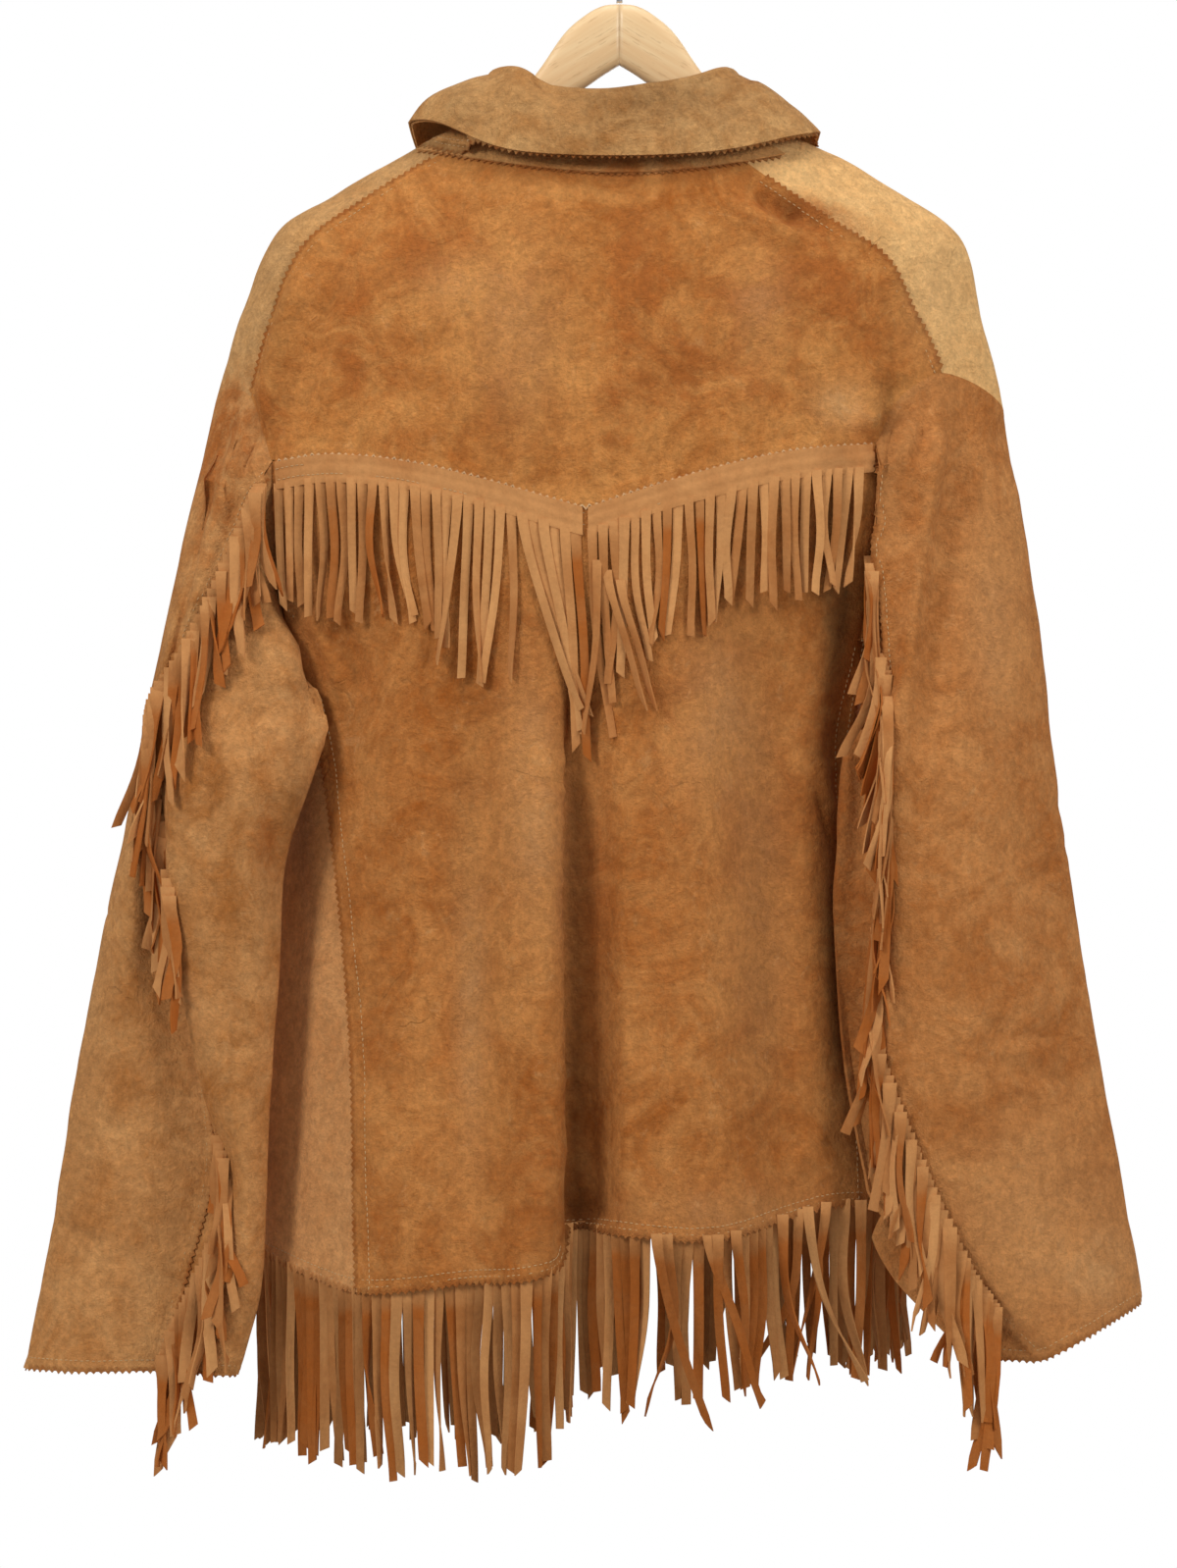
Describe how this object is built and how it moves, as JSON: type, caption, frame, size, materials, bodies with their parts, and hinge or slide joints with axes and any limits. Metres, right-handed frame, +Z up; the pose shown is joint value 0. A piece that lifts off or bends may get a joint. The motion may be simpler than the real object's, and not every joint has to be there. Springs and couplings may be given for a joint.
{
  "type": "fringed jacket on a hanger",
  "caption": "Fringed buckskin jacket hanging open on a contoured wooden hanger: pointed back yoke, pinked and stitched seams, strand fringe on yoke, sleeves and hem, turned-down collar.",
  "frame": {"origin": "the inner top of the hook, where a clothes rod bears", "axes": "+Z up, -Y out of the jacket's back, +X to the wearer's right"},
  "size_m": [0.6924, 0.1976, 0.9959],
  "materials": {
    "buckskin_yoke": "sueded buckskin, golden orange-tan with rust patches",
    "buckskin_back": "sueded buckskin, brownish tan with rust patches",
    "buckskin_front": "sueded buckskin, beige tan",
    "buckskin_sleeve": "sueded buckskin, tan",
    "buckskin_collar": "sueded buckskin, yellowish tan",
    "buckskin_band": "sueded buckskin, tan",
    "buckskin_fringe": "buckskin cut into strands, flesh side tan and grain side orange-brown",
    "beech": "varnished pale wood",
    "steel_wire": "bright steel wire"
  },
  "bodies": {
    "root": {"back_yoke": "buckskin_yoke", "back_lower": "buckskin_back", "front_left": "buckskin_front", "front_right": "buckskin_front", "front_yoke_left": "buckskin_front", "front_yoke_right": "buckskin_front", "sleeve_upper_left": "buckskin_sleeve", "sleeve_upper_right": "buckskin_sleeve", "sleeve_under_left": "buckskin_sleeve", "sleeve_under_right": "buckskin_sleeve", "collar_upper": "buckskin_collar", "collar_under": "buckskin_band", "neck_band_left": "buckskin_band", "neck_band_right": "buckskin_band", "fringe_yoke_left": "buckskin_fringe", "fringe_yoke_right": "buckskin_fringe", "fringe_front_left": "buckskin_fringe", "fringe_front_right": "buckskin_fringe", "fringe_hem_back": "buckskin_fringe", "fringe_hem_front_left": "buckskin_fringe", "fringe_hem_front_right": "buckskin_fringe", "fringe_sleeve_left_top": "buckskin_fringe", "fringe_sleeve_left_cuff": "buckskin_fringe", "fringe_sleeve_right": "buckskin_fringe", "hanger_arm_left": "beech", "hanger_arm_right": "beech", "hanger_hook": "steel_wire"}
  },
  "joints": []
}
